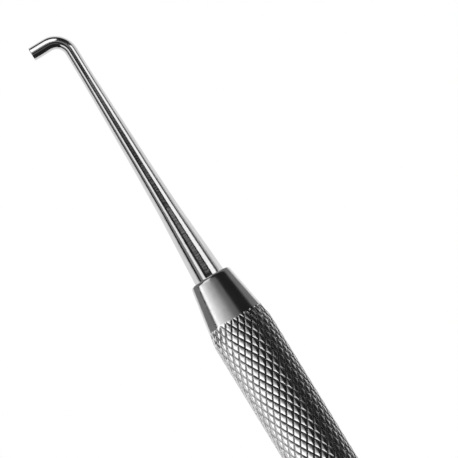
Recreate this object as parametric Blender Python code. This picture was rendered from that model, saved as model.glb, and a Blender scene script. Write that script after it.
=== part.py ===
"""Double-ended dental hand instrument: a hollow knurled handle with a pusher nib at -X and a sickle scaler at +X.

The handle lies along X on its lowest line, z = 0, with its middle at the origin. Both working ends bend in the
horizontal plane through the handle's axis: the nib points to -Y and the blade's tip to +Y.
"""
from math import cos, pi, radians, sin, tan

import bmesh
import bpy
from mathutils import Vector

MM = 0.001

# Handle
HANDLE_DIAMETER = 8.0 * MM
HANDLE_LENGTH = 98.0 * MM           # over both ferrules
TUBE_BORE = 6.0 * MM
KNURL_DEPTH = 0.34 * MM
CONE_HALF_ANGLE = radians(9.8)

# Ferrules
NOSE_DIAMETER = 5.32 * MM
NOSE_ROUNDING = 0.45 * MM
SPIGOT_LENGTH = 8.0 * MM
EDGE_CHAMFER = 0.25 * MM

# Working ends
TANG_DIAMETER = 4.0 * MM
TANG_LENGTH = 12.0 * MM

# Pusher end: three tapers and a slim neck, then the bend, which swells to the nib in its second half
PUSHER_ROOT_LENGTH = 9.7 * MM
PUSHER_SHOULDER_LENGTH = 6.1 * MM
PUSHER_TAPER_LENGTH = 12.9 * MM
PUSHER_NECK_LENGTH = 3.88 * MM
PUSHER_ROOT_END_RADIUS = 1.36 * MM
PUSHER_SHOULDER_END_RADIUS = 1.12 * MM
PUSHER_TAPER_END_RADIUS = 0.80 * MM
PUSHER_NECK_END_RADIUS = 0.77 * MM
NIB_DIAMETER = 1.76 * MM
NIB_REACH = 4.38 * MM               # from the shank's axis to the nib's flat face
NIB_BEND_RADIUS = 2.15 * MM
NIB_CHAMFER = 0.1 * MM

# Scaler end: two tapers, a bend to one side and a straight stretch, then a blade on one arc
SCALER_ROOT_LENGTH = 10.0 * MM
SCALER_TAPER_LENGTH = 9.5 * MM
SCALER_NECK_LENGTH = 3.6 * MM
SCALER_ROOT_END_RADIUS = 1.35 * MM
SCALER_TAPER_END_RADIUS = 1.05 * MM
SCALER_BEND_END_RADIUS = 0.92 * MM
SCALER_NECK_END_RADIUS = 0.80 * MM
SCALER_BEND_RADIUS = 12.0 * MM
SCALER_BEND_ANGLE = radians(22)
BLADE_CURVE_RADIUS = 6.0 * MM
BLADE_HEEL_ANGLE = radians(24)      # where the round shank turns into the blade
BLADE_BODY_ANGLE = radians(52)
BLADE_TIP_ANGLE = radians(32)
BLADE_HEEL_SIZE = 0.78 * MM         # the radius of the circle that the blade's section is cut from
BLADE_BODY_SIZE = 0.56 * MM
BLADE_TIP_SIZE = 0.08 * MM

# The blade's section, as shares of its size: how far out its flat face, its flanks and its back lie
BLADE_FACE_SHARE = 0.50
BLADE_FLANK_SHARE = 0.55
BLADE_BACK_SHARE = 1.05
BLADE_FLANK_NORMAL = radians(105)   # between the directions that the face and a flank look in

# Fits: the clearance left between pieces that are pressed together
FIT_GAP = 0.04 * MM

# Every round piece has the same number of sides, with one side facing straight down
SIDES = 24
NOSE_ROUNDING_STEPS = 5
SHARP_ANGLE = radians(30)

HANDLE_RADIUS = HANDLE_DIAMETER / 2
NOSE_RADIUS = NOSE_DIAMETER / 2
ROOT_RADIUS = HANDLE_RADIUS - KNURL_DEPTH
TANG_RADIUS = TANG_DIAMETER / 2
NIB_RADIUS = NIB_DIAMETER / 2
AXIS_HEIGHT = HANDLE_RADIUS * cos(pi / SIDES)
NOSE_X = HANDLE_LENGTH / 2
SEAM_X = NOSE_X - (ROOT_RADIUS - NOSE_RADIUS) / tan(CONE_HALF_ANGLE)
CREST_X = NOSE_X - (HANDLE_RADIUS - NOSE_RADIUS) / tan(CONE_HALF_ANGLE)


def clear_scene():
    for obj in list(bpy.data.objects):
        bpy.data.objects.remove(obj, do_unlink=True)


def steel(name, colour, roughness):
    material = bpy.data.materials.new(name)
    material.use_nodes = True
    shader = material.node_tree.nodes["Principled BSDF"]
    shader.inputs["Base Color"].default_value = (*colour, 1.0)
    shader.inputs["Roughness"].default_value = roughness
    shader.inputs["Metallic"].default_value = 1.0
    return material


def ring_angles():
    return [(i + 0.5) * 2 * pi / SIDES for i in range(SIDES)]


def skin(name, rings, closed, material):
    """Join neighbouring rings of points with faces. A closed skin meets itself, an open one gets two end caps."""
    mesh = bpy.data.meshes.new(name)
    bm = bmesh.new()
    loops = [[bm.verts.new(point) for point in ring] for ring in rings]
    pairs = list(zip(loops, loops[1:]))
    if closed:
        pairs.append((loops[-1], loops[0]))
    else:
        bm.faces.new(loops[0])
        bm.faces.new(loops[-1])
    for ring, following in pairs:
        for i in range(SIDES):
            j = (i + 1) % SIDES
            bm.faces.new((ring[i], ring[j], following[j], following[i]))
    bmesh.ops.recalc_face_normals(bm, faces=bm.faces)
    bm.to_mesh(mesh)
    bm.free()
    mesh.materials.append(material)
    mesh.shade_smooth()
    mesh.set_sharp_from_angle(angle=SHARP_ANGLE)
    obj = bpy.data.objects.new(name, mesh)
    obj.location.z = AXIS_HEIGHT
    bpy.context.scene.collection.objects.link(obj)
    return obj


def turned(name, profile, material):
    """A hollow turned piece: a closed profile of (x, radius) points carried round the handle's axis."""
    rings = [[(x, r * cos(a), r * sin(a)) for a in ring_angles()] for x, r in profile]
    return skin(name, rings, True, material)


def make_handle_tube(material):
    bore = TUBE_BORE / 2
    half = [
        (CREST_X, HANDLE_RADIUS),
        (SEAM_X, ROOT_RADIUS),
        (SEAM_X, bore + EDGE_CHAMFER),
        (SEAM_X - EDGE_CHAMFER, bore),
    ]
    mirrored = [(-x, r) for x, r in reversed(half)]
    return turned("handle_tube", half + mirrored, material)


def make_ferrule(name, side, material):
    """A cone with a spigot behind it, bored through for the tang. side is -1 or +1, the end that it closes."""
    bore = TANG_RADIUS + FIT_GAP
    spigot = TUBE_BORE / 2 - FIT_GAP
    shoulder_x = SEAM_X + FIT_GAP
    back_x = SEAM_X - SPIGOT_LENGTH
    nose_sweep = pi / 2 - CONE_HALF_ANGLE
    nose_inset = NOSE_ROUNDING * tan(nose_sweep / 2)
    profile = [(NOSE_X, bore)]
    for i in range(NOSE_ROUNDING_STEPS + 1):
        turn = nose_sweep * i / NOSE_ROUNDING_STEPS
        x = NOSE_X - NOSE_ROUNDING * (1 - cos(turn))
        r = NOSE_RADIUS - nose_inset + NOSE_ROUNDING * sin(turn)
        profile.append((x, r))
    shoulder_radius = NOSE_RADIUS + (NOSE_X - shoulder_x) * tan(CONE_HALF_ANGLE)
    profile += [
        (shoulder_x, shoulder_radius),
        (shoulder_x, spigot),
        (back_x + EDGE_CHAMFER, spigot),
        (back_x, spigot - EDGE_CHAMFER),
        (back_x, bore),
    ]
    return turned(name, [(side * x, r) for x, r in profile], material)


class Walk:
    """A centre line walked in the horizontal plane, leaving a station wherever a ring of the skin goes."""

    def __init__(self, x, heading, radius):
        self.place = Vector((x, 0.0, 0.0))
        self.heading = heading
        self.radius = radius
        self.stations = [(self.place.copy(), heading, radius)]

    def _leave(self, radius):
        self.stations.append((self.place.copy(), self.heading, radius))

    def straight(self, length, end_radius, steps=1):
        start_radius = self.radius
        direction = Vector((cos(self.heading), sin(self.heading), 0.0))
        for i in range(steps):
            self.place += direction * length / steps
            self._leave(start_radius + (end_radius - start_radius) * (i + 1) / steps)
        self.radius = end_radius

    def arc(self, bend_radius, angle, end_radius, steps):
        """Turn by angle, positive to the left, on a circle of bend_radius."""
        start_radius = self.radius
        chord = 2 * bend_radius * sin(abs(angle) / steps / 2)
        for i in range(steps):
            middle = self.heading + angle / steps / 2
            self.place += Vector((cos(middle), sin(middle), 0.0)) * chord
            self.heading += angle / steps
            self._leave(start_radius + (end_radius - start_radius) * (i + 1) / steps)
        self.radius = end_radius


def round_section(radius):
    return [(radius * cos(a), radius * sin(a)) for a in ring_angles()]


def blade_section(radius, share):
    """Part way, by share, from a circle to a sickle blade's section: a flat face, two flanks and a narrow back."""
    sides = [
        (0.0, BLADE_FACE_SHARE * radius),
        (BLADE_FLANK_NORMAL, BLADE_FLANK_SHARE * radius),
        (-BLADE_FLANK_NORMAL, BLADE_FLANK_SHARE * radius),
        (pi, BLADE_BACK_SHARE * radius),
    ]
    points = []
    for a in ring_angles():
        limits = [reach / cos(a - normal) for normal, reach in sides if cos(a - normal) > 0]
        r = (1 - share) * radius + share * min(limits)
        points.append((r * cos(a), r * sin(a)))
    return points


def station_ring(place, heading, section):
    """Put a section's points round a station: the first coordinate runs to the walk's left, the second along Z."""
    left = Vector((-sin(heading), cos(heading), 0.0))
    up = Vector((0.0, 0.0, 1.0))
    return [place + left * across + up * rise for across, rise in section]


def start_working_end(side):
    """The tang, walked outwards from inside the handle to the ferrule's nose."""
    heading = 0.0 if side > 0 else pi
    walk = Walk(side * (NOSE_X - TANG_LENGTH), heading, TANG_RADIUS - EDGE_CHAMFER)
    walk.straight(EDGE_CHAMFER, TANG_RADIUS)
    walk.straight(TANG_LENGTH - EDGE_CHAMFER, TANG_RADIUS)
    return walk


def make_pusher_end(material):
    """Three tapers, a slim neck, a right-angle bend and a round nib with a flat face."""
    walk = start_working_end(-1)
    walk.straight(PUSHER_ROOT_LENGTH, PUSHER_ROOT_END_RADIUS, steps=2)
    walk.straight(PUSHER_SHOULDER_LENGTH, PUSHER_SHOULDER_END_RADIUS)
    walk.straight(PUSHER_TAPER_LENGTH, PUSHER_TAPER_END_RADIUS, steps=2)
    walk.straight(PUSHER_NECK_LENGTH, PUSHER_NECK_END_RADIUS)
    walk.arc(NIB_BEND_RADIUS, pi / 4, PUSHER_NECK_END_RADIUS, steps=5)
    walk.arc(NIB_BEND_RADIUS, pi / 4, NIB_RADIUS, steps=5)
    walk.straight(NIB_REACH - NIB_BEND_RADIUS - NIB_CHAMFER, NIB_RADIUS)
    walk.straight(NIB_CHAMFER, NIB_RADIUS - NIB_CHAMFER)
    rings = [station_ring(place, heading, round_section(radius)) for place, heading, radius in walk.stations]
    return skin("pusher_end", rings, False, material)


def make_scaler_end(material):
    """A tapered shank bent to one side, then a sickle blade that curves back across it to a point."""
    walk = start_working_end(1)
    walk.straight(SCALER_ROOT_LENGTH, SCALER_ROOT_END_RADIUS, steps=2)
    walk.straight(SCALER_TAPER_LENGTH, SCALER_TAPER_END_RADIUS, steps=2)
    walk.arc(SCALER_BEND_RADIUS, -SCALER_BEND_ANGLE, SCALER_BEND_END_RADIUS, steps=5)
    walk.straight(SCALER_NECK_LENGTH, SCALER_NECK_END_RADIUS)
    shank_stations = len(walk.stations)
    walk.arc(BLADE_CURVE_RADIUS, BLADE_HEEL_ANGLE, BLADE_HEEL_SIZE, steps=4)
    heel_stations = len(walk.stations) - shank_stations
    walk.arc(BLADE_CURVE_RADIUS, BLADE_BODY_ANGLE, BLADE_BODY_SIZE, steps=8)
    walk.arc(BLADE_CURVE_RADIUS, BLADE_TIP_ANGLE, BLADE_TIP_SIZE, steps=5)
    rings = []
    for i, (place, heading, radius) in enumerate(walk.stations):
        share = min(max((i + 1 - shank_stations) / heel_stations, 0.0), 1.0)
        rings.append(station_ring(place, heading, blade_section(radius, share)))
    return skin("scaler_end", rings, False, material)


def main():
    clear_scene()
    knurled = steel("knurled_steel", (0.60, 0.60, 0.60), 0.30)
    make_handle_tube(knurled)
    make_ferrule("pusher_ferrule", -1, steel("pusher_ferrule_steel", (0.64, 0.64, 0.64), 0.22))
    make_ferrule("scaler_ferrule", 1, steel("scaler_ferrule_steel", (0.64, 0.64, 0.64), 0.22))
    make_pusher_end(steel("pusher_end_steel", (0.66, 0.66, 0.66), 0.12))
    make_scaler_end(steel("scaler_end_steel", (0.66, 0.66, 0.66), 0.12))


main()
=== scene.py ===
"""The finished look of a double-ended dental hand instrument: a polished right-angled pusher nib and a sickle
scaler, each in a turned ferrule, on a diamond-knurled steel handle that lies on a white studio floor."""
from math import atan2, ceil, cos, hypot, pi, radians, sin, tan

import bmesh
import bpy
import numpy as np
from mathutils import Matrix, Vector


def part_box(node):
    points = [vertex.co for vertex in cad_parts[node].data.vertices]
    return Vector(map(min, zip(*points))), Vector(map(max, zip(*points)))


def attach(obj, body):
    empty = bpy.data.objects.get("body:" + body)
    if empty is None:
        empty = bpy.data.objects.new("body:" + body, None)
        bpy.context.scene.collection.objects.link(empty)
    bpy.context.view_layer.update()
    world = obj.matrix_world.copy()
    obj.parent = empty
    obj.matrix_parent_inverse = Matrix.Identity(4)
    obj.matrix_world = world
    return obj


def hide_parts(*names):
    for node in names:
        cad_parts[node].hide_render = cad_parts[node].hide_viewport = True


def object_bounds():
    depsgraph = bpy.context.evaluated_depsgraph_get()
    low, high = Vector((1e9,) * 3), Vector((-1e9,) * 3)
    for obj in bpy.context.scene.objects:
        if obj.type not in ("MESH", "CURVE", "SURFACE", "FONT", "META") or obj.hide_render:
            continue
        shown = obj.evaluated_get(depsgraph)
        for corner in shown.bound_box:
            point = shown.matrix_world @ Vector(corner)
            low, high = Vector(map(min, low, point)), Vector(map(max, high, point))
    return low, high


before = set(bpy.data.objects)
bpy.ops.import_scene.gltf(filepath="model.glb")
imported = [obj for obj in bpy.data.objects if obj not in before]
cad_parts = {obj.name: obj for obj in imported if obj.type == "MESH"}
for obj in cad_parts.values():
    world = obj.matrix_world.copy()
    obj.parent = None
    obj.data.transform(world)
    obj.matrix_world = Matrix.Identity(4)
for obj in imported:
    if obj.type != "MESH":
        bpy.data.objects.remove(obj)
cad_low, cad_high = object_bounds()

MM = 0.001

# The frame: where the handle lies, how long it is and how far the nib reaches
TUBE_LOW, TUBE_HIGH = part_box("handle_tube")
FERRULE_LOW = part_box("pusher_ferrule")[0]
PUSHER_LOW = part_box("pusher_end")[0]
AXIS_HEIGHT = (TUBE_LOW.z + TUBE_HIGH.z) / 2
SEAM_X = TUBE_HIGH.x
NOSE_X = -FERRULE_LOW.x
NIB_REACH = -PUSHER_LOW.y

# Handle and ferrules
HANDLE_RADIUS = 4.0 * MM
TUBE_BORE = 6.0 * MM
CONE_HALF_ANGLE = radians(9.8)
NOSE_RADIUS = 2.66 * MM
NOSE_ROUNDING = 0.5 * MM
NOSE_ROUNDING_STEPS = 12
CONE_STEPS = 16
SPIGOT_LENGTH = 8.0 * MM
SPIGOT_CHAMFER = 0.25 * MM
MOUTH_CHAMFER = 0.08 * MM           # where the shank enters the ferrule
TANG_RADIUS = 2.0 * MM
TANG_LENGTH = 12.0 * MM
FIT_GAP = 0.04 * MM

# Knurl: two families of helical grooves, with a diamond in every space between them
KNURL_WALL = 0.27 * MM              # the steep side of a groove
KNURL_DOME = 0.07 * MM              # the rounded top of a diamond, above it
KNURL_DEPTH = KNURL_WALL + KNURL_DOME
KNURL_WALL_SHARE = 0.25             # of the way from a groove to a diamond's middle
KNURL_DOME_POWER = 2.8
KNURL_MARGIN = 0.13 * MM            # the plain rim of the tube at a ferrule
KNURL_RUN_OUT = 0.33 * MM           # how far from the ferrule the grooves reach their full depth
KNURL_STARTS = 25                   # grooves round the handle, in each hand
KNURL_PITCH = 1.611 * MM            # along the axis
KNURL_CROSSING_X = -39.96 * MM      # a place where two grooves cross
KNURL_CROSSING_TURN = radians(5.02)
# Where the mesh is cut between one groove and the next, as a share of the way
KNURL_CUTS = (0.0, KNURL_WALL_SHARE / 2, 0.20, 0.5, 0.80, 1 - KNURL_WALL_SHARE / 2)

# Pusher end: how far from the ferrule's nose its tapers meet, and its radius there, then the bend and the nib
PUSHER_TAPERS = [(0.0, TANG_RADIUS), (9.7 * MM, 1.36 * MM), (15.8 * MM, 1.12 * MM), (28.7 * MM, 0.80 * MM)]
PUSHER_NECK_RADIUS = 0.77 * MM
NIB_RADIUS = 0.88 * MM
NIB_BEND_RADIUS = 2.15 * MM
NIB_ROUNDING = 0.10 * MM            # of the edge round the nib's flat face
NIB_ROUNDING_STEPS = 6
NIB_X = PUSHER_LOW.x + NIB_RADIUS

# Scaler end: two tapers, a bend to one side and a straight stretch, then a blade on one arc
SCALER_ROOT_LENGTH = 10.0 * MM
SCALER_TAPER_LENGTH = 9.5 * MM
SCALER_NECK_LENGTH = 3.6 * MM
SCALER_ROOT_END_RADIUS = 1.35 * MM
SCALER_TAPER_END_RADIUS = 1.05 * MM
SCALER_BEND_END_RADIUS = 0.92 * MM
SCALER_NECK_END_RADIUS = 0.80 * MM
SCALER_BEND_RADIUS = 12.0 * MM
SCALER_BEND_ANGLE = radians(22)
BLADE_CURVE_RADIUS = 6.0 * MM
BLADE_CURVE_ANGLE = radians(108)
BLADE_HEEL_ANGLE = radians(24)      # where the round shank has turned into the blade
BLADE_BODY_ANGLE = radians(52)
BLADE_HEEL_SIZE = 0.78 * MM         # the radius of the circle that the blade's section is cut from
BLADE_BODY_SIZE = 0.56 * MM
BLADE_TIP_SIZE = 0.08 * MM

# The blade's section, as shares of its size: how far out its flat face, its flanks and its back lie
BLADE_FACE_SHARE = 0.50
BLADE_FLANK_SHARE = 0.55
BLADE_BACK_SHARE = 1.05
BLADE_FLANK_NORMAL = radians(105)   # between the directions that the face and a flank look in

# How fine the meshes are
ROUND_SIDES = 96
PUSHER_STEP = 0.25 * MM
SCALER_STEP = 0.2 * MM

# How far the corners between the tapers are rounded
PUSHER_SOFTNESS = 0.6 * MM
SCALER_SOFTNESS = 0.4 * MM

# Directions round the object, named as the camera sees them: to the right and up the picture
PICTURE_TURN = radians(58.53)
PICTURE_RIGHT = Vector((cos(PICTURE_TURN), sin(PICTURE_TURN), 0.0))
PICTURE_UP = Vector((-sin(PICTURE_TURN), cos(PICTURE_TURN), 0.0))

# Studio
FLOOR_HEIGHT = AXIS_HEIGHT - HANDLE_RADIUS
FLOOR_REFLECTED = 0.12              # radiance of the floor in the steel, apart from the bright parts of it
WORLD_REFLECTED = 0.02
SOFTBOX_DISTANCE = 0.8
SOFTBOX_AIM = Vector((-0.040, 0.0, AXIS_HEIGHT))
STRIP_DISTANCE = 0.5
STRIP_SPAN = (-0.35, 0.35)          # along X
NEAR_SPAN = (-0.35, 0.15)

# Parts of the floor: how far from the middle they reach along X, and their spans along Y
HANDLE_FLOOR_X = 43.5 * MM
HANDLE_FLOOR_Y = (-90 * MM, 12.5 * MM)
COLLAR_FLOOR_X = 51 * MM
COLLAR_FLOOR_Y = (-8 * MM, 8 * MM)
END_FLOOR_START_X = 46 * MM
END_FLOOR_END_X = 95 * MM
END_FLOOR_Y = (-150 * MM, 60 * MM)

# Camera
CAMERA_LEAN = radians(3.3)          # from overhead towards the handle
CAMERA_TARGET = Vector((-52.80 * MM, 5.10 * MM, AXIS_HEIGHT))
CAMERA_LENS = 400.0
SENSOR_WIDTH = 36.0
VIEW_WIDTH = 56.02 * MM


# ---------------------------------------------------------------- mesh building

def finish_piece(name, bm, sharp_angle, material, node):
    """Turn a mesh drawn round the handle's axis into a smooth object, and let it stand for its CAD node."""
    bmesh.ops.recalc_face_normals(bm, faces=bm.faces)
    mesh = bpy.data.meshes.new(name)
    bm.to_mesh(mesh)
    bm.free()
    mesh.shade_smooth()
    mesh.set_sharp_from_angle(angle=sharp_angle)
    mesh.materials.append(material)
    piece = bpy.data.objects.new(name, mesh)
    piece.location.z = AXIS_HEIGHT
    bpy.context.scene.collection.objects.link(piece)
    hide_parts(node)
    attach(piece, "root")
    return piece


def skin(rings, closed):
    """A mesh over rings of as many points each. A closed skin meets itself, an open one gets end caps."""
    bm = bmesh.new()
    loops = [[bm.verts.new(point) for point in ring] for ring in rings]
    pairs = list(zip(loops, loops[1:]))
    if closed:
        pairs.append((loops[-1], loops[0]))
    else:
        bm.faces.new(loops[0])
        bm.faces.new(loops[-1])
    sides = len(loops[0])
    for here, there in pairs:
        for i in range(sides):
            j = (i + 1) % sides
            bm.faces.new((here[i], here[j], there[j], there[i]))
    return bm


def circle_angles():
    return [2 * pi * i / ROUND_SIDES for i in range(ROUND_SIDES)]


def circle(radius):
    return [(radius * cos(a), radius * sin(a)) for a in circle_angles()]


def turned_rings(profile):
    """A ring for each (x, radius) point of a turned profile."""
    return [[(x, y, z) for y, z in circle(radius)] for x, radius in profile]


# ---------------------------------------------------------------- materials

class Nodes:
    """Short ways to add shader nodes to one metal."""

    def __init__(self, name):
        self.material = bpy.data.materials.new(name)
        self.material.use_nodes = True
        self.tree = self.material.node_tree
        self.shader = self.tree.nodes["Principled BSDF"]
        self.shader.inputs["Metallic"].default_value = 1.0

    def add(self, kind):
        return self.tree.nodes.new(kind)

    def link(self, source, target):
        self.tree.links.new(source, target)

    def place(self, scale):
        """The point on the piece in metres, stretched by scale along X, Y and Z."""
        coordinates = self.add("ShaderNodeTexCoord")
        mapping = self.add("ShaderNodeMapping")
        mapping.inputs["Scale"].default_value = scale
        self.link(coordinates.outputs["Object"], mapping.inputs["Vector"])
        return mapping.outputs["Vector"]

    def noise(self, scale, size, detail=2.0):
        """Noise from 0 to 1 with features of about size metres, stretched by scale."""
        noise = self.add("ShaderNodeTexNoise")
        noise.inputs["Scale"].default_value = 1 / size
        noise.inputs["Detail"].default_value = detail
        self.link(self.place(scale), noise.inputs["Vector"])
        return noise.outputs["Fac"]

    def math(self, operation, *values):
        """One step of arithmetic on numbers or node outputs."""
        step = self.add("ShaderNodeMath")
        step.operation = operation
        for value, socket in zip(values, step.inputs):
            if isinstance(value, (int, float)):
                socket.default_value = value
            else:
                self.link(value, socket)
        return step.outputs["Value"]

    def ramp(self, value, start, end, low, high):
        """Low where value is up to start, high from end on, and a straight line between them."""
        ramp = self.add("ShaderNodeMapRange")
        ramp.inputs["From Min"].default_value = start
        ramp.inputs["From Max"].default_value = end
        ramp.inputs["To Min"].default_value = low
        ramp.inputs["To Max"].default_value = high
        self.link(value, ramp.inputs["Value"])
        return ramp.outputs["Result"]

    def spread(self, value, low, high):
        """Turn the middle of a noise's range into low to high."""
        return self.ramp(value, 0.3, 0.7, low, high)

    def split_place(self):
        """The distance of a point from the piece's middle along X, and its Y and Z, in metres."""
        coordinates = self.add("ShaderNodeTexCoord")
        split = self.add("ShaderNodeSeparateXYZ")
        self.link(coordinates.outputs["Object"], split.inputs["Vector"])
        return self.math("ABSOLUTE", split.outputs["X"]), split.outputs["Y"], split.outputs["Z"]

    def depth_below_crests(self):
        """How far a point of the handle lies under the diamonds' tops, on the round part and on the cones."""
        x, y, z = self.split_place()
        squares = self.math("MULTIPLY_ADD", z, z, self.math("MULTIPLY", y, y))
        radius = self.math("SQRT", squares)
        cone = self.math("MULTIPLY_ADD", x, -tan(CONE_HALF_ANGLE), cone_radius(0.0))
        return self.math("SUBTRACT", self.math("MINIMUM", cone, HANDLE_RADIUS), radius)

    def grey(self, value):
        self.link(value, self.shader.inputs["Base Color"])

    def roughness(self, value):
        self.link(value, self.shader.inputs["Roughness"])

    def bump(self, layers):
        """Stack bumps. Each layer is a height from 0 to 1 and its depth in metres."""
        normal = None
        for height, depth in layers:
            bump = self.add("ShaderNodeBump")
            bump.inputs["Strength"].default_value = 1.0
            bump.inputs["Distance"].default_value = depth
            self.link(height, bump.inputs["Height"])
            if normal is not None:
                self.link(normal, bump.inputs["Normal"])
            normal = bump.outputs["Normal"]
        self.link(normal, self.shader.inputs["Normal"])


RINGS = (1.0, 0.02, 0.02)           # noise stretched round the axis, like the marks of a lathe
BROKEN_RINGS = (1.0, 0.3, 0.3)      # the same, worn until the marks are short
LENGTHWAYS = (0.05, 1.0, 1.0)       # noise stretched along the axis, like the marks of polishing
EVEN = (1.0, 1.0, 1.0)

# The shanks' turning marks are plain close to the ferrules and mostly polished away further out
TURNED_UP_TO_X = 57 * MM
POLISHED_FROM_X = 68 * MM
TURNING_LEFT = 0.35                 # the share of their depth that is left there

# The grooves of the knurl get painted shade in their colour: none down to one depth, the darkest from the
# other on
UNSHADED_GROOVE_DEPTH = 0.20 * MM
FULL_SHADE_DEPTH = 0.34 * MM
PAINTED_GROOVE_SHADE = 0.5


def polished_steel():
    """Near-mirror steel with turning rings by the ferrules, hairline polishing marks and cloudy wear."""
    nodes = Nodes("polished_steel")
    nodes.grey(nodes.spread(nodes.noise(EVEN, 1.5 * MM), 0.60, 0.66))
    nodes.roughness(nodes.spread(nodes.noise(LENGTHWAYS, 0.2 * MM, 4.0), 0.08, 0.15))
    from_middle, _, _ = nodes.split_place()
    coarse = nodes.ramp(from_middle, TURNED_UP_TO_X, POLISHED_FROM_X, 1.0, TURNING_LEFT)
    turning = nodes.math("MULTIPLY", nodes.noise(BROKEN_RINGS, 0.26 * MM), coarse)
    nodes.bump([(turning, 0.0090 * MM), (nodes.noise(LENGTHWAYS, 0.12 * MM), 0.0008 * MM)])
    return nodes.material


def ferrule_steel():
    """Satin steel, turned on a lathe: fine rings that blur what it reflects along the axis."""
    nodes = Nodes("ferrule_steel")
    nodes.grey(nodes.spread(nodes.noise(EVEN, 1.2 * MM), 0.56, 0.62))
    nodes.roughness(nodes.spread(nodes.noise(RINGS, 0.1 * MM, 3.0), 0.15, 0.22))
    nodes.bump([(nodes.noise(RINGS, 0.10 * MM), 0.0015 * MM), (nodes.noise(EVEN, 0.05 * MM), 0.0006 * MM)])
    return nodes.material


def knurled_steel():
    """Formed diamonds, bright on top and darkened down in the grooves by painted shade, with a slightly
    pitted skin.
    """
    nodes = Nodes("knurled_steel")
    bright = nodes.spread(nodes.noise(EVEN, 0.9 * MM, 3.0), 0.56, 0.64)
    # Painted shade: the base colour darkens with depth below the diamonds' tops, down to the grooves' bottoms
    shade = nodes.ramp(nodes.depth_below_crests(), UNSHADED_GROOVE_DEPTH, FULL_SHADE_DEPTH, 1.0, PAINTED_GROOVE_SHADE)
    nodes.grey(nodes.math("MULTIPLY", bright, shade))
    nodes.roughness(nodes.spread(nodes.noise(EVEN, 0.15 * MM, 3.0), 0.12, 0.20))
    nodes.bump([(nodes.noise(EVEN, 0.09 * MM, 3.0), 0.0030 * MM)])
    return nodes.material


# ---------------------------------------------------------------- working ends

def soft_line(at, places, values, softness):
    """A broken line through (places, values), with its corners rounded over softness."""
    spread = np.linspace(-softness, softness, 9)
    return float(np.interp(at + spread, places, values).mean())


def walk_path(start_x, heading, segments, step):
    """Places, headings and distances along a path of straight runs (length, None) and arcs (radius, turn)."""
    place = Vector((start_x, 0.0, 0.0))
    travelled = 0.0
    stations = [(place.copy(), heading, travelled)]
    for size, turn in segments:
        length = size if turn is None else size * abs(turn)
        count = max(1, ceil(length / step))
        for _ in range(count):
            bend = 0.0 if turn is None else turn / count
            chord = length / count if turn is None else 2 * size * sin(abs(bend) / 2)
            middle = heading + bend / 2
            place += Vector((cos(middle), sin(middle), 0.0)) * chord
            heading += bend
            travelled += length / count
            stations.append((place.copy(), heading, travelled))
    return stations


def place_section(place, heading, section):
    left = Vector((-sin(heading), cos(heading), 0.0))
    up = Vector((0.0, 0.0, 1.0))
    return [place + left * across + up * rise for across, rise in section]


def make_pusher(material):
    """Tapers to a slim neck, bends square, swells to the nib and ends in a flat face with a rounded edge."""
    shank = -NOSE_X - NIB_X - NIB_BEND_RADIUS
    nib = NIB_REACH - NIB_BEND_RADIUS
    path = [(TANG_LENGTH, None), (shank, None), (NIB_BEND_RADIUS, pi / 2), (nib, None)]
    stations = walk_path(-(NOSE_X - TANG_LENGTH), pi, path, PUSHER_STEP)
    total = stations[-1][2]
    bend_middle = TANG_LENGTH + shank + NIB_BEND_RADIUS * pi / 4
    sizes = [(0.0, TANG_RADIUS)]
    sizes += [(TANG_LENGTH + place, radius) for place, radius in PUSHER_TAPERS]
    sizes += [(bend_middle, PUSHER_NECK_RADIUS), (total - nib, NIB_RADIUS), (total, NIB_RADIUS)]
    places, radii = zip(*sizes)
    rings = []
    for place, heading, travelled in stations[:-1]:
        radius = soft_line(travelled, places, radii, PUSHER_SOFTNESS)
        rings.append(place_section(place, heading, circle(radius)))
    end, heading, _ = stations[-1]
    ahead = Vector((cos(heading), sin(heading), 0.0))
    for i in range(NIB_ROUNDING_STEPS + 1):
        turn = pi / 2 * i / NIB_ROUNDING_STEPS
        radius = NIB_RADIUS - NIB_ROUNDING * (1 - cos(turn))
        place = end - ahead * NIB_ROUNDING * (1 - sin(turn))
        rings.append(place_section(place, heading, circle(radius)))
    bm = skin(rings, False)
    return finish_piece("pusher_end_finish", bm, radians(50), material, "pusher_end")


def blade_angles():
    """Ring angles, as many on each side of the blade's section, with one on every corner."""
    sine, cosine = sin(BLADE_FLANK_NORMAL), cos(BLADE_FLANK_NORMAL)
    corner = atan2((BLADE_FLANK_SHARE - BLADE_FACE_SHARE * cosine) / sine, BLADE_FACE_SHARE)
    back_corner = atan2((BLADE_FLANK_SHARE + BLADE_BACK_SHARE * cosine) / sine, -BLADE_BACK_SHARE)
    marks = [-back_corner, -corner, corner, back_corner, 2 * pi - back_corner]
    count = ROUND_SIDES // 4
    return [low + (high - low) * i / count for low, high in zip(marks, marks[1:]) for i in range(count)]


def blade_limit(angle):
    """How far out the blade's section reaches in a direction, as a share of its size."""
    sides = [
        (0.0, BLADE_FACE_SHARE),
        (BLADE_FLANK_NORMAL, BLADE_FLANK_SHARE),
        (-BLADE_FLANK_NORMAL, BLADE_FLANK_SHARE),
        (pi, BLADE_BACK_SHARE),
    ]
    return min(reach / cos(angle - normal) for normal, reach in sides if cos(angle - normal) > 1e-6)


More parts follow.
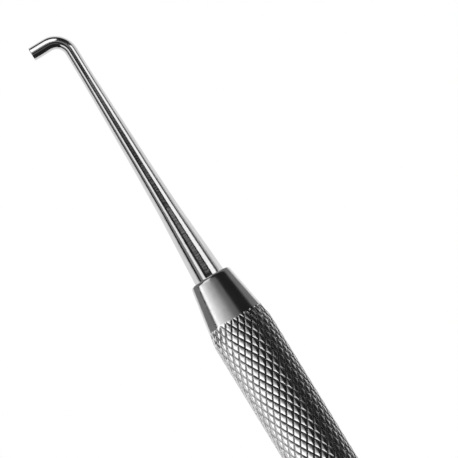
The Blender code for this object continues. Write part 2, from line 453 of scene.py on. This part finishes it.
def make_scaler(material):
    """Tapers, bends to one side and ends in a curved blade with a flat face, two edges and a narrow back."""
    path = [
        (TANG_LENGTH, None),
        (SCALER_ROOT_LENGTH + SCALER_TAPER_LENGTH, None),
        (SCALER_BEND_RADIUS, -SCALER_BEND_ANGLE),
        (SCALER_NECK_LENGTH, None),
        (BLADE_CURVE_RADIUS, BLADE_CURVE_ANGLE),
    ]
    stations = walk_path(NOSE_X - TANG_LENGTH, 0.0, path, SCALER_STEP)
    total = stations[-1][2]
    blade_start = total - BLADE_CURVE_RADIUS * BLADE_CURVE_ANGLE
    heel = blade_start + BLADE_CURVE_RADIUS * BLADE_HEEL_ANGLE
    sizes = [
        (0.0, TANG_RADIUS),
        (TANG_LENGTH, TANG_RADIUS),
        (TANG_LENGTH + SCALER_ROOT_LENGTH, SCALER_ROOT_END_RADIUS),
        (TANG_LENGTH + SCALER_ROOT_LENGTH + SCALER_TAPER_LENGTH, SCALER_TAPER_END_RADIUS),
        (blade_start - SCALER_NECK_LENGTH, SCALER_BEND_END_RADIUS),
        (blade_start, SCALER_NECK_END_RADIUS),
        (heel, BLADE_HEEL_SIZE),
        (heel + BLADE_CURVE_RADIUS * BLADE_BODY_ANGLE, BLADE_BODY_SIZE),
        (total, BLADE_TIP_SIZE),
    ]
    places, radii = zip(*sizes)
    outline = [(a, blade_limit(a)) for a in blade_angles()]
    rings = []
    for place, heading, travelled in stations:
        radius = soft_line(travelled, places, radii, SCALER_SOFTNESS)
        share = min(max((travelled - blade_start) / (heel - blade_start), 0.0), 1.0)
        section = []
        for a, limit in outline:
            r = radius * ((1 - share) + share * limit)
            section.append((r * cos(a), r * sin(a)))
        rings.append(place_section(place, heading, section))
    bm = skin(rings, False)
    return finish_piece("scaler_end_finish", bm, radians(28), material, "scaler_end")


# ---------------------------------------------------------------- ferrules and handle

def cone_radius(x):
    """The radius that the turned cones have at x."""
    return NOSE_RADIUS + (NOSE_X - abs(x)) * tan(CONE_HALF_ANGLE)


def make_ferrule(name, side, material, node):
    """A cone with a rounded nose, bored for the tang, on a slimmer spigot inside the tube."""
    bore = TANG_RADIUS + FIT_GAP
    spigot = TUBE_BORE / 2 - FIT_GAP
    back_x = SEAM_X - SPIGOT_LENGTH
    sweep = pi / 2 - CONE_HALF_ANGLE
    inset = NOSE_ROUNDING * tan(sweep / 2)
    profile = [(NOSE_X - MOUTH_CHAMFER, bore), (NOSE_X, bore + MOUTH_CHAMFER)]
    for i in range(NOSE_ROUNDING_STEPS + 1):
        turn = sweep * i / NOSE_ROUNDING_STEPS
        x = NOSE_X - NOSE_ROUNDING * (1 - cos(turn))
        profile.append((x, NOSE_RADIUS - inset + NOSE_ROUNDING * sin(turn)))
    start_x, start_radius = profile[-1]
    for i in range(1, CONE_STEPS + 1):
        share = i / CONE_STEPS
        x = start_x + (SEAM_X - start_x) * share
        profile.append((x, start_radius + (cone_radius(SEAM_X) - start_radius) * share))
    profile += [
        (SEAM_X, spigot),
        (back_x + SPIGOT_CHAMFER, spigot),
        (back_x, spigot - SPIGOT_CHAMFER),
        (back_x, bore),
    ]
    bm = skin(turned_rings([(side * x, radius) for x, radius in profile]), True)
    return finish_piece(name, bm, radians(40), material, node)


def crest_radius(x):
    """The diamonds' tops at x: they follow the cones at both ends."""
    return min(HANDLE_RADIUS, cone_radius(x))


def knurl_profile(share):
    """Height from a groove's bottom (share 0) up its wall and over the dome to a diamond's top (share 1)."""
    wall = min(share / KNURL_WALL_SHARE, 1.0)
    dome = max(share - KNURL_WALL_SHARE, 0.0) / (1 - KNURL_WALL_SHARE)
    return KNURL_WALL * wall + KNURL_DOME * (1 - (1 - dome) ** KNURL_DOME_POWER)


def add_diamonds(bm):
    """The knurl's skin, on two families of lines i and j along the grooves, a few of each to a diamond."""
    per = len(KNURL_CUTS)
    round_handle = KNURL_STARTS * per
    heights = [knurl_profile(2 * min(cut, 1 - cut)) for cut in KNURL_CUTS]
    verts = {}

    def vertex(i, j):
        # (i, j) and (i + round_handle, j - round_handle) are the same place, once round the handle
        turns = i // round_handle
        i -= turns * round_handle
        j += turns * round_handle
        if (i, j) not in verts:
            u = i // per + KNURL_CUTS[i % per]
            v = j // per + KNURL_CUTS[j % per]
            x = KNURL_CROSSING_X + KNURL_PITCH * (u + v) / 2
            turn = KNURL_CROSSING_TURN + pi / KNURL_STARTS * (u - v)
            radius = crest_radius(x) - KNURL_DEPTH + min(heights[i % per], heights[j % per])
            verts[i, j] = bm.verts.new((x, -radius * sin(turn), radius * cos(turn)))
        return verts[i, j]

    reach = SEAM_X + KNURL_PITCH
    most = ceil((reach - KNURL_CROSSING_X) / KNURL_PITCH) * 2
    for a in range(KNURL_STARTS):
        for b in range(-a - most, most):
            if abs(KNURL_CROSSING_X + KNURL_PITCH * (a + b + 1) / 2) >= reach:
                continue
            for p in range(per):
                for q in range(per):
                    i, j = a * per + p, b * per + q
                    corners = [vertex(i, j), vertex(i + 1, j), vertex(i + 1, j + 1), vertex(i, j + 1)]
                    first = 0 if (p < per // 2) == (q < per // 2) else 1
                    bm.faces.new(corners[first:first + 3])
                    bm.faces.new([corners[first], corners[first + 2], corners[(first + 3) % 4]])


def cut_across(bm, x, clear):
    """Cut a mesh in the plane at x, and remove what is on the side clear of it: -1, +1, or 0 for neither."""
    bmesh.ops.bisect_plane(
        bm,
        geom=bm.verts[:] + bm.edges[:] + bm.faces[:],
        dist=1e-7,
        plane_co=(x, 0, 0),
        plane_no=(1, 0, 0),
        clear_outer=clear > 0,
        clear_inner=clear < 0,
    )


def trim_diamonds(bm):
    """Cut the knurl off at both ferrules, and let its grooves run out just before them."""
    for inset in (KNURL_RUN_OUT, KNURL_MARGIN, 0.0):
        for side in (-1, 1):
            cut_across(bm, side * (SEAM_X - inset), side if inset == 0.0 else 0)
    for vert in bm.verts:
        share = (SEAM_X - KNURL_MARGIN - abs(vert.co.x)) / (KNURL_RUN_OUT - KNURL_MARGIN)
        if share < 1:
            radius = hypot(vert.co.y, vert.co.z)
            crest = crest_radius(vert.co.x)
            wanted = crest - (crest - radius) * max(share, 0.0)
            vert.co.y *= wanted / radius
            vert.co.z *= wanted / radius


def add_bore(bm):
    """The inside of the tube, and the flat ends that join it to the knurl."""
    rims = []
    for side in (-1, 1):
        rims.append([bm.verts.new((side * SEAM_X, y, z)) for y, z in circle(TUBE_BORE / 2)])
    for i in range(ROUND_SIDES):
        j = (i + 1) % ROUND_SIDES
        bm.faces.new((rims[0][i], rims[0][j], rims[1][j], rims[1][i]))
    for side in (-1, 1):
        edge = [e for e in bm.edges if e.is_boundary and all(v.co.x * side > SEAM_X - 1e-6 for v in e.verts)]
        bmesh.ops.triangle_fill(bm, use_beauty=True, edges=edge, normal=(side, 0, 0))


def make_handle(material):
    """A tube with diamonds between two families of helical grooves, cut off by the cones at both ends."""
    bm = bmesh.new()
    add_diamonds(bm)
    trim_diamonds(bm)
    add_bore(bm)
    return finish_piece("handle_tube_finish", bm, radians(28), material, "handle_tube")


# ---------------------------------------------------------------- studio

def emit(tree, output_kind, source_kind, reflected):
    """Make a floor or a world white to the camera, and a dimmer grey in what the steel reflects."""
    nodes, links = tree.nodes, tree.links
    nodes.clear()
    output = nodes.new(output_kind)
    path = nodes.new("ShaderNodeLightPath")
    mix = nodes.new("ShaderNodeMixShader")
    links.new(path.outputs["Is Camera Ray"], mix.inputs["Fac"])
    for socket, grey in ((1, reflected), (2, 1.0)):
        source = nodes.new(source_kind)
        source.inputs["Color"].default_value = (grey, grey, grey, 1.0)
        links.new(source.outputs[0], mix.inputs[socket])
    links.new(mix.outputs["Shader"], output.inputs["Surface"])


def make_floor():
    """A white floor. What the steel reflects of it is dim, apart from the floor lights that lie on it."""
    bpy.ops.mesh.primitive_plane_add(size=6.0, location=(0, 0, min(cad_low.z, FLOOR_HEIGHT)))
    floor_plane = bpy.context.object
    floor_plane.name = "studio_floor"
    material = bpy.data.materials.new("white_floor")
    material.use_nodes = True
    emit(material.node_tree, "ShaderNodeOutputMaterial", "ShaderNodeEmission", FLOOR_REFLECTED)
    floor_plane.data.materials.append(material)


def make_world():
    world = bpy.data.worlds.new("studio")
    world.use_nodes = True
    emit(world.node_tree, "ShaderNodeOutputWorld", "ShaderNodeBackground", WORLD_REFLECTED)
    bpy.context.scene.world = world


def fade_light(light, start, power):
    """Dim an area light towards its upper edge, from the height start (0 to 1) up."""
    light.use_nodes = True
    nodes, links = light.node_tree.nodes, light.node_tree.links
    geometry = nodes.new("ShaderNodeNewGeometry")
    split = nodes.new("ShaderNodeSeparateXYZ")
    ramp = nodes.new("ShaderNodeMapRange")
    curve = nodes.new("ShaderNodeMath")
    ramp.inputs["From Min"].default_value = start
    ramp.inputs["From Max"].default_value = 1.0
    ramp.inputs["To Min"].default_value = 1.0
    ramp.inputs["To Max"].default_value = 0.0
    curve.operation = "POWER"
    curve.inputs[1].default_value = power
    links.new(geometry.outputs["Parametric"], split.inputs["Vector"])
    links.new(split.outputs["Y"], ramp.inputs["Value"])
    links.new(ramp.outputs["Result"], curve.inputs[0])
    links.new(curve.outputs["Value"], nodes["Emission"].inputs["Strength"])


def area_light(name, receivers, centre, axes, size, radiance):
    """A rectangular light for the receivers only. axes are along its width, its height and backwards."""
    light = bpy.data.lights.new(name, "AREA")
    light.shape = "RECTANGLE"
    light.size, light.size_y = size
    light.energy = radiance * pi * light.size * light.size_y
    lamp = bpy.data.objects.new(name, light)
    lamp.matrix_world = Matrix.Translation(centre) @ Matrix(axes).transposed().to_4x4()
    lamp.visible_camera = False
    bpy.context.scene.collection.objects.link(lamp)
    lamp.light_linking.receiver_collection = receivers
    return light


def softbox(name, receivers, right, up, width, height, radiance):
    """A softbox, right and up degrees from overhead as the camera sees it, width and height degrees large."""
    zenith = radians(hypot(right, up))
    azimuth = atan2(up, right)
    back = (PICTURE_RIGHT * cos(azimuth) + PICTURE_UP * sin(azimuth)) * sin(zenith)
    back.z = cos(zenith)
    side = (PICTURE_RIGHT - back * back.dot(PICTURE_RIGHT)).normalized()
    size = [2 * SOFTBOX_DISTANCE * tan(radians(angle) / 2) for angle in (width, height)]
    centre = SOFTBOX_AIM + back * SOFTBOX_DISTANCE
    return area_light(name, receivers, centre, (side, back.cross(side), back), size, radiance)


def strip_light(name, receivers, low, high, radiance, x_span=STRIP_SPAN):
    """A long light beside the instrument, from low to high degrees from overhead, towards +Y."""
    middle = radians((low + high) / 2)
    back = Vector((0.0, sin(middle), cos(middle)))
    side = Vector((1.0, 0.0, 0.0))
    size = (x_span[1] - x_span[0], 2 * STRIP_DISTANCE * tan(radians(high - low) / 2))
    centre = Vector((sum(x_span) / 2, 0, AXIS_HEIGHT)) + back * STRIP_DISTANCE
    return area_light(name, receivers, centre, (side, back.cross(side), back), size, radiance)


def floor_light(name, receivers, x_span, y_span, radiance):
    """A part of the floor that the receivers see bright."""
    centre = Vector((sum(x_span) / 2, sum(y_span) / 2, FLOOR_HEIGHT + 0.01 * MM))
    axes = (Vector((1, 0, 0)), Vector((0, -1, 0)), Vector((0, 0, -1)))
    size = (abs(x_span[1] - x_span[0]), y_span[1] - y_span[0])
    return area_light(name, receivers, centre, axes, size, radiance)


def receiver_group(name, pieces):
    group = bpy.data.collections.new(name)
    for piece in pieces:
        group.objects.link(piece)
    return group


def light_handle(pieces):
    """A big softbox on the -Y side, a smaller one and a faint glow up the picture, and a bright floor."""
    group = receiver_group("lit_handle", pieces)
    main_softbox = softbox("main_softbox", group, right=-28.5, up=-16, width=97, height=94, radiance=1.9)
    fade_light(main_softbox, start=0.42, power=2.2)
    softbox("overhead_glow", group, right=-1, up=21, width=36, height=26, radiance=0.17)
    softbox("upper_softbox", group, right=-44, up=30, width=36, height=40, radiance=1.1)
    reach = (-HANDLE_FLOOR_X, HANDLE_FLOOR_X)
    floor_light("handle_floor", group, reach, HANDLE_FLOOR_Y, radiance=0.9)
    for side in (-1, 1):
        beyond = (side * HANDLE_FLOOR_X, side * END_FLOOR_END_X)
        collar = (side * HANDLE_FLOOR_X, side * COLLAR_FLOOR_X)
        floor_light("collar_floor", group, beyond, END_FLOOR_Y, radiance=0.12)
        floor_light("near_collar_floor", group, collar, COLLAR_FLOOR_Y, radiance=0.8)


def light_ends(pieces):
    """Strips along both sides, down to the horizon, that draw long bright lines on the shanks."""
    group = receiver_group("lit_ends", pieces)
    softbox("tip_softbox", group, right=-28, up=44, width=50, height=44, radiance=1.6)
    strip_light("near_strip", group, -48, -28, radiance=1.2, x_span=NEAR_SPAN)
    strip_light("near_low_strip", group, -66, -49, radiance=0.25, x_span=NEAR_SPAN)
    strip_light("middle_strip", group, -9, 22, radiance=0.24, x_span=(-0.30, -0.145))
    strip_light("inner_middle_strip", group, -15, 15, radiance=0.1, x_span=(0.02, 0.16))
    strip_light("near_horizon", group, -90, -84, radiance=0.9)
    strip_light("far_horizon", group, 84, 90, radiance=0.9)
    strip_light("far_strip", group, 32.5, 64, radiance=1.4, x_span=(-0.235, 0.35))
    strip_light("far_low_strip", group, 65, 83, radiance=0.1, x_span=NEAR_SPAN)
    for side in (-1, 1):
        beyond = (side * END_FLOOR_START_X, side * END_FLOOR_END_X)
        floor_light("end_floor", group, beyond, END_FLOOR_Y, radiance=0.88)


def make_camera():
    """Overhead, leaning a little towards the handle, and turned so that the instrument crosses the view."""
    handle_way = Vector((cos(CAMERA_LEAN), 0.0, -sin(CAMERA_LEAN)))
    side_way = Vector((0.0, 1.0, 0.0))
    back = Vector((sin(CAMERA_LEAN), 0.0, cos(CAMERA_LEAN)))
    right = handle_way * cos(PICTURE_TURN) + side_way * sin(PICTURE_TURN)
    up = side_way * cos(PICTURE_TURN) - handle_way * sin(PICTURE_TURN)
    camera = bpy.data.cameras.new("camera")
    camera.lens = CAMERA_LENS
    camera.sensor_width = SENSOR_WIDTH
    camera.clip_start = 0.01
    camera.clip_end = 20.0
    distance = VIEW_WIDTH * CAMERA_LENS / SENSOR_WIDTH
    place = Matrix.Translation(CAMERA_TARGET + back * distance)
    holder = bpy.data.objects.new("camera", camera)
    holder.matrix_world = place @ Matrix((right, up, back)).transposed().to_4x4()
    bpy.context.scene.collection.objects.link(holder)
    bpy.context.scene.camera = holder
    bpy.context.scene.view_settings.view_transform = "Standard"


def main():
    polished = polished_steel()
    satin = ferrule_steel()
    ends = [make_pusher(polished), make_scaler(polished)]
    handle_pieces = [
        make_ferrule("pusher_ferrule_finish", -1, satin, "pusher_ferrule"),
        make_ferrule("scaler_ferrule_finish", 1, satin, "scaler_ferrule"),
        make_handle(knurled_steel()),
    ]
    make_floor()
    make_world()
    light_handle(handle_pieces)
    light_ends(ends)
    make_camera()


main()
